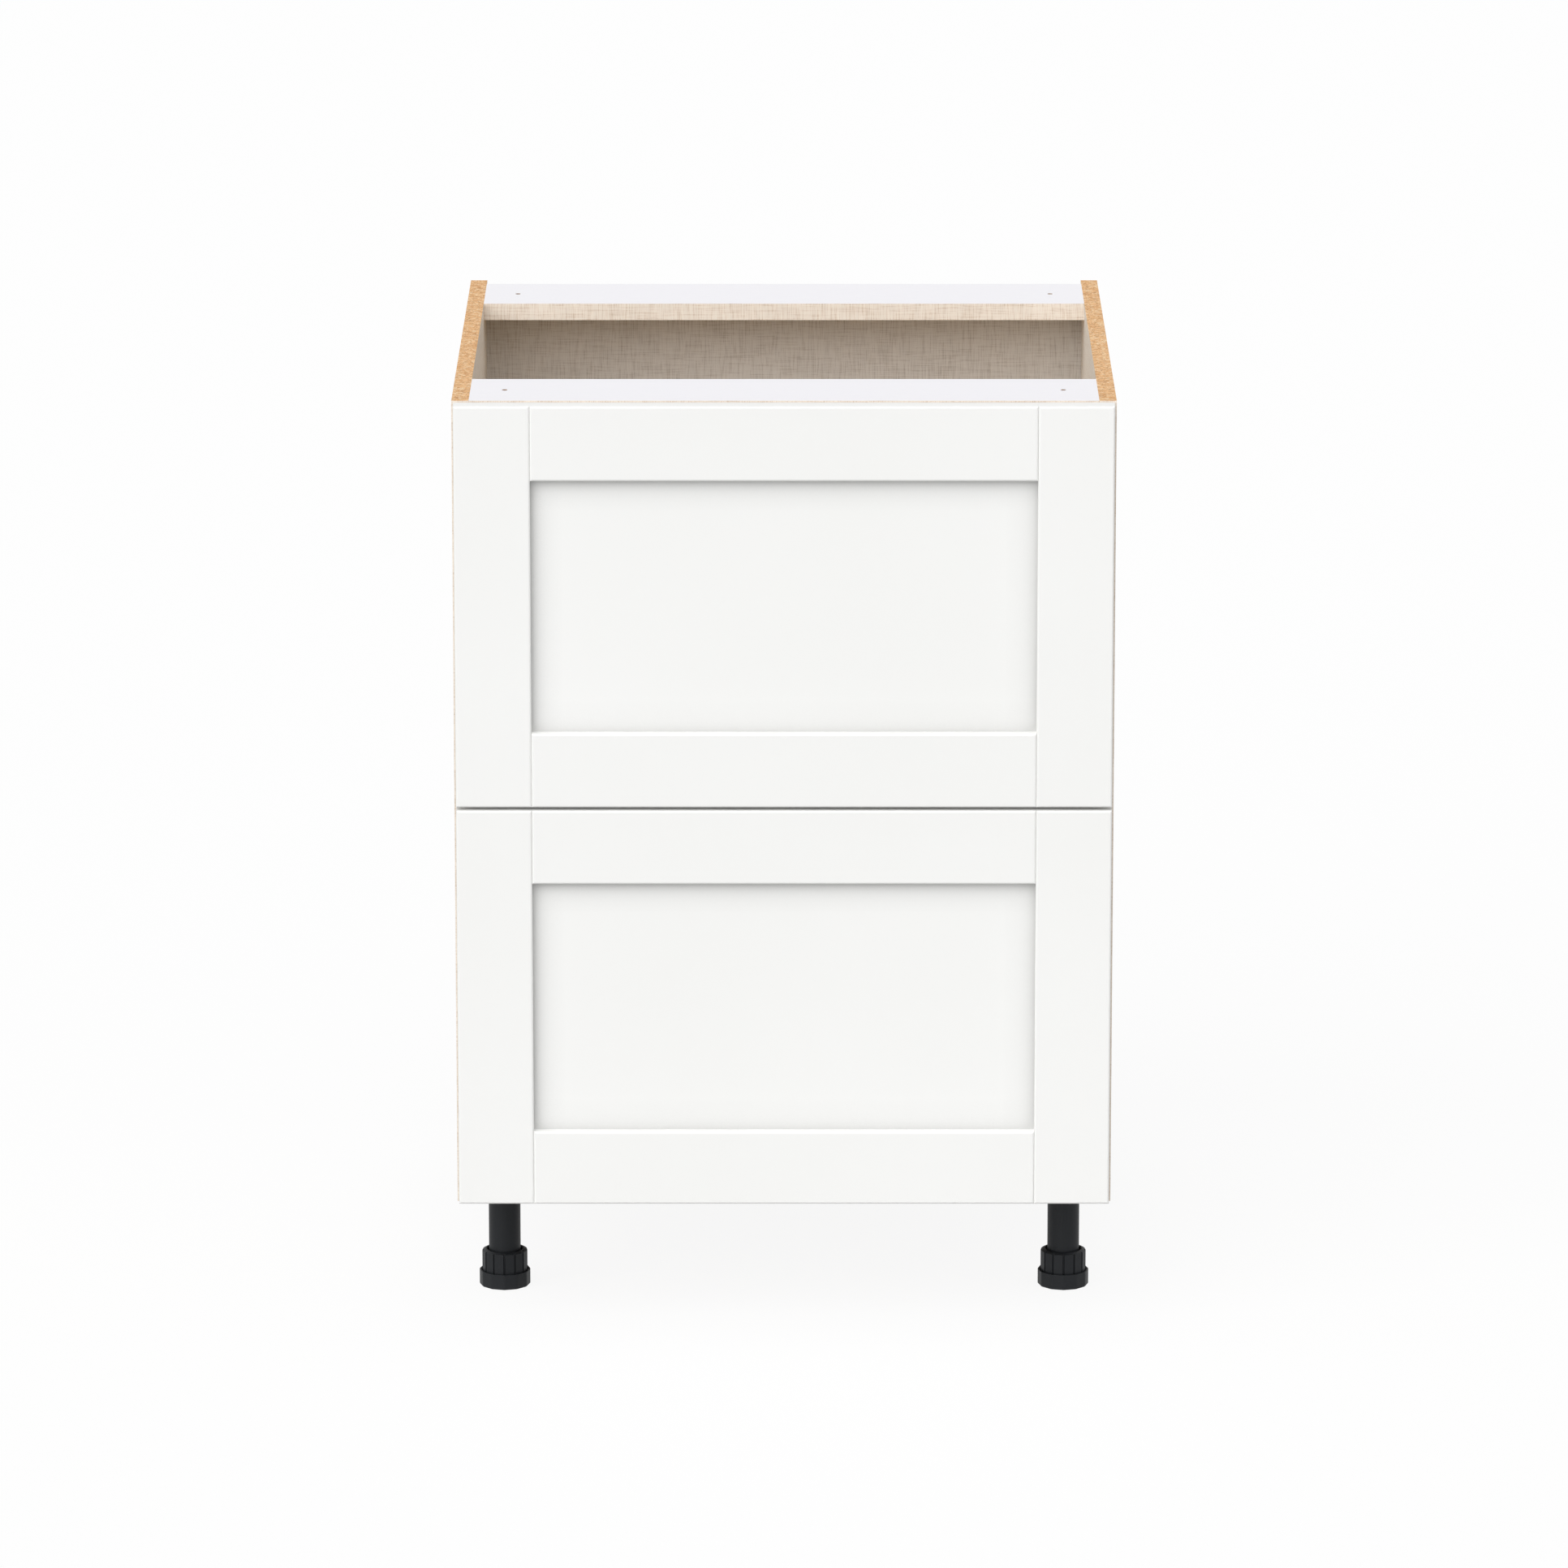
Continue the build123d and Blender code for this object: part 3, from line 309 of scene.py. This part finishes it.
def zinc(name, axis, tone):
    """Rolled zinc-plated steel: rolling streaks along one axis and a soft spangle."""
    s = Surface(name)
    streak = s.noise(drawn_out(axis, STREAK_LONG, STREAK_FINE), 3.0)
    base = s.ramp(s.cells(even(SPANGLE))["Red"], (0.0, shaded(tone, 0.92)), (1.0, tone))
    base = s.mix(s.edges(0.0008), base, paler(tone, 1.25))
    s.bump(streak, strength=0.08, distance=0.0002, soften=0.0003)
    return s.set(Base_Color=base, Roughness=s.ramp(streak, (0.3, 0.27), (0.7, 0.42)), Metallic=0.95)


SPARK, PLASTIC_CLOUDS = 1500.0, 60.0


def plastic(name, tone, rough=(0.4, 0.52), grain=0.25, edge=1.6, gloss=0.5):
    """Moulded plastic with a fine spark texture, edge times paler where edges rub."""
    s = Surface(name)
    spark = s.noise(even(SPARK), 2.0)
    clouds = s.noise(even(PLASTIC_CLOUDS), 3.0, offset=4.0)
    base = s.ramp(clouds, (0.3, shaded(tone, 0.88)), (0.7, tone))
    base = s.mix(s.edges(0.0007), base, paler(tone, edge))
    s.bump(spark, strength=grain, distance=0.0003, soften=0.0004)
    return s.set(Base_Color=base, Roughness=s.ramp(spark, (0.3, rough[0]), (0.7, rough[1])),
                 Specular_IOR_Level=gloss)


PAINT = front_paint("front_paint")
# The recessed panel's paint darkens to 0.64 of its tone in its inner corners: painted shade.
PANEL_PAINT = front_paint("panel_paint", inner=0.64)
# The back panel's linen darkens to 0.80 of its tone inside the cabinet: painted shade.
BACK_LINEN = linen("linen_back", X, Z, (0.90, 0.845, 0.79), (0.72, 0.69, 0.66), inner=0.80)
LINEN = {
    # Paler than the other linen: painted light that lifts the shaded inner faces of the side panels.
    X: linen("linen_x", Y, Z, (0.93, 0.855, 0.77)),
    Y: linen("linen_y", X, Z),
    Z: linen("linen_z", Y, X),
}
CHIP = chipboard()
WHITE = white_laminate()
BIRCH_LIGHT, BIRCH_DARK = (0.80, 0.66, 0.48), (0.70, 0.54, 0.36)
BIRCH = {
    X: timber("birch_x", X, BIRCH_LIGHT, BIRCH_DARK),
    Y: timber("birch_y", Y, BIRCH_LIGHT, BIRCH_DARK),
}
BIRCH_PLY = timber("birch_ply", Y, (0.82, 0.69, 0.52), (0.74, 0.59, 0.41), ring=40.0)
BEECH = timber("beech", X, (0.60, 0.40, 0.22), (0.48, 0.30, 0.16), ring=400.0)
ZINC = zinc("runner_zinc", Y, (0.62, 0.63, 0.65))
SCREW = zinc("screw_zinc", X, (0.55, 0.55, 0.56))
LEG = plastic("leg_plastic", (0.0100, 0.0116, 0.0140), (0.46, 0.58), gloss=0.25)
LOCK = plastic("lock_plastic", (0.16, 0.165, 0.175))
NYLON = plastic("cage_nylon", (0.66, 0.66, 0.63), (0.35, 0.45), grain=0.1, edge=1.1)
BUMPER = plastic("bumper_rubber", (0.62, 0.62, 0.60), (0.3, 0.4), grain=0.05, edge=1.05)


# ---------------------------------------------------------------- dressing the frame
nodes = frame["nodes"]


def dress(name, *materials, pick=None):
    """Give a CAD node its materials; pick(polygon) returns the slot of each face."""
    mesh = nodes[name].data
    mesh.materials.clear()
    for mat in materials:
        mesh.materials.append(mat)
    for polygon in mesh.polygons:
        polygon.material_index = pick(polygon) if pick else 0


def faces_of(axis):
    """Slot 0 on the two big faces of a board, slot 1 on its sawn edges and in its holes."""
    return lambda polygon: 0 if abs(polygon.normal[axis]) > FACING else 1


for side in SIDES:
    dress(f"side_panel_{side}", LINEN[X], CHIP, pick=faces_of(X))
dress("bottom_panel", LINEN[Z], CHIP, pick=faces_of(Z))
dress("back_panel", BACK_LINEN, CHIP, pick=faces_of(Y))


def rail_face(polygon):
    """Slot 0 on a rail's top, slot 1 on its underside, slot 2 on its sawn edges and in its holes."""
    if polygon.normal.z > FACING:
        return 0
    return 1 if polygon.normal.z < -FACING else 2


for rail in ("top_rail_front", "top_rail_back"):
    dress(rail, WHITE, LINEN[Z], CHIP, pick=rail_face)
dress("edge_bands", LINEN[Y])
for name in ("carcass_screws", "runner_screws", "leg_screws"):
    dress(name, SCREW)
dress("carcass_dowels", BEECH)
dress("leg_sockets", LEG)
dress("leg_tubes", LEG)
for corner in CORNERS:
    dress(f"leg_collar_{corner}", LEG)
    dress(f"leg_pad_{corner}", LEG)
for level in LEVELS:
    for part in ("stile_left", "stile_right", "rail_top", "rail_bottom"):
        dress(f"{level}_front_{part}", PAINT)
    dress(f"{level}_front_panel", PANEL_PAINT)
    for side in SIDES:
        dress(f"{level}_box_side_{side}", BIRCH[Y])
        dress(f"{level}_runner_cabinet_{side}", ZINC)
    dress(f"{level}_box_front", BIRCH[X])
    dress(f"{level}_box_back", BIRCH[X])
    dress(f"{level}_box_bottom", BIRCH_PLY)
    dress(f"{level}_runner_middles", ZINC)
    dress(f"{level}_runner_members", ZINC)
    dress(f"{level}_runner_locks", LOCK)
    dress(f"{level}_front_screws", SCREW)
    dress(f"{level}_bumpers", BUMPER)
    dress(f"{level}_roller_cages_inner", NYLON)
    dress(f"{level}_roller_cages_outer", NYLON)


# ---------------------------------------------------------------- studio
FLOOR_SIZE = 80.0
FLOOR_GREY = (0.44, 0.44, 0.44)
FLOOR_WHITE = (0.94, 0.94, 0.94)
FLOOR_GLOW = 0.9
WHITE_LIGHT = (1.0, 1.0, 1.0, 1.0)
AMBIENT = 0.47
# Where each lamp's light comes from, its strength and its angular size in degrees.
LAMPS = {
    "key": ((-0.42, -0.69, 0.59), 2.06, 68.0),
    "fill": ((0.55, -0.60, 0.58), 0.42, 60.0),
}


def seen_white(tree):
    """1 for rays from the camera, off gloss or through glass, 0 for the rest."""
    path = tree.nodes.new("ShaderNodeLightPath")
    total = path.outputs["Is Camera Ray"]
    for ray in ("Is Glossy Ray", "Is Transmission Ray"):
        both = tree.nodes.new("ShaderNodeMath")
        both.operation = "MAXIMUM"
        tree.links.new(total, both.inputs[0])
        tree.links.new(path.outputs[ray], both.inputs[1])
        total = both.outputs["Value"]
    return total


def floor_material():
    """Studio floor that looks white, keeps a pale shadow and throws back less than half of its light."""
    s = Surface("studio_floor")
    white = seen_white(s.tree)
    s.set(Base_Color=s.mix(white, FLOOR_GREY, FLOOR_WHITE), Roughness=0.9)
    glow = s.node("Emission")
    glow.inputs["Strength"].default_value = 1.0
    both = s.node("MixShader")
    s.link(s.calc("MULTIPLY", white, FLOOR_GLOW), both.inputs["Fac"])
    s.link(s.shader.outputs["BSDF"], both.inputs[1])
    s.link(glow.outputs["Emission"], both.inputs[2])
    s.link(both.outputs["Shader"], s.tree.nodes["Material Output"].inputs["Surface"])
    return s.mat


# The floor lies under whichever foot reaches lowest, and no higher than four feet screwed all the way in.
FEET_IN = max(-joint["range_m"][0] for joint in frame["joints"] if joint["name"].startswith("pad_"))
bpy.ops.mesh.primitive_plane_add(size=FLOOR_SIZE, location=(0.0, 0.0, FEET_IN))
floor = bpy.context.active_object
floor.name = "studio_floor"
floor.data.materials.append(floor_material())
for corner in CORNERS:
    under = floor.constraints.new("FLOOR")
    under.target = frame["bodies"][f"pad_{corner}"]
    under.floor_location = "FLOOR_NEGATIVE_Z"


def studio_world():
    """World that lights the object at AMBIENT and looks white."""
    world = bpy.data.worlds.new("studio")
    world.use_nodes = True
    tree = world.node_tree
    ambient = tree.nodes["Background"]
    seen = tree.nodes.new("ShaderNodeBackground")
    for background, strength in ((ambient, AMBIENT), (seen, 1.0)):
        background.inputs["Color"].default_value = WHITE_LIGHT
        background.inputs["Strength"].default_value = strength
    blend = tree.nodes.new("ShaderNodeMixShader")
    tree.links.new(seen_white(tree), blend.inputs["Fac"])
    tree.links.new(ambient.outputs["Background"], blend.inputs[1])
    tree.links.new(seen.outputs["Background"], blend.inputs[2])
    tree.links.new(blend.outputs["Shader"], tree.nodes["World Output"].inputs["Surface"])
    return world


scene = bpy.context.scene
scene.world = studio_world()
for name, (comes_from, strength, angle) in LAMPS.items():
    lamp = bpy.data.lights.new(name, "SUN")
    lamp.energy = strength
    lamp.angle = math.radians(angle)
    holder = bpy.data.objects.new(name, lamp)
    bpy.context.collection.objects.link(holder)
    holder.rotation_euler = (-Vector(comes_from)).to_track_quat("-Z", "Y").to_euler()

# ---------------------------------------------------------------- camera
CAMERA_PLACE = (0.0, -9.1105, 2.6688)
TILT_DOWN = 13.7125
FOCAL_PX, PHOTO_PX, SENSOR_MM = 12109.4, 1932.0, 36.0
NEAREST, FARTHEST = 0.1, 100.0
lens = bpy.data.cameras.new("camera")
lens.sensor_width = SENSOR_MM
lens.lens = FOCAL_PX / PHOTO_PX * SENSOR_MM
lens.clip_start, lens.clip_end = NEAREST, FARTHEST
camera = bpy.data.objects.new("camera", lens)
bpy.context.collection.objects.link(camera)
camera.location = CAMERA_PLACE
camera.rotation_euler = Euler((math.radians(90.0 - TILT_DOWN), 0.0, 0.0))
scene.camera = camera
scene.view_settings.view_transform = "Standard"
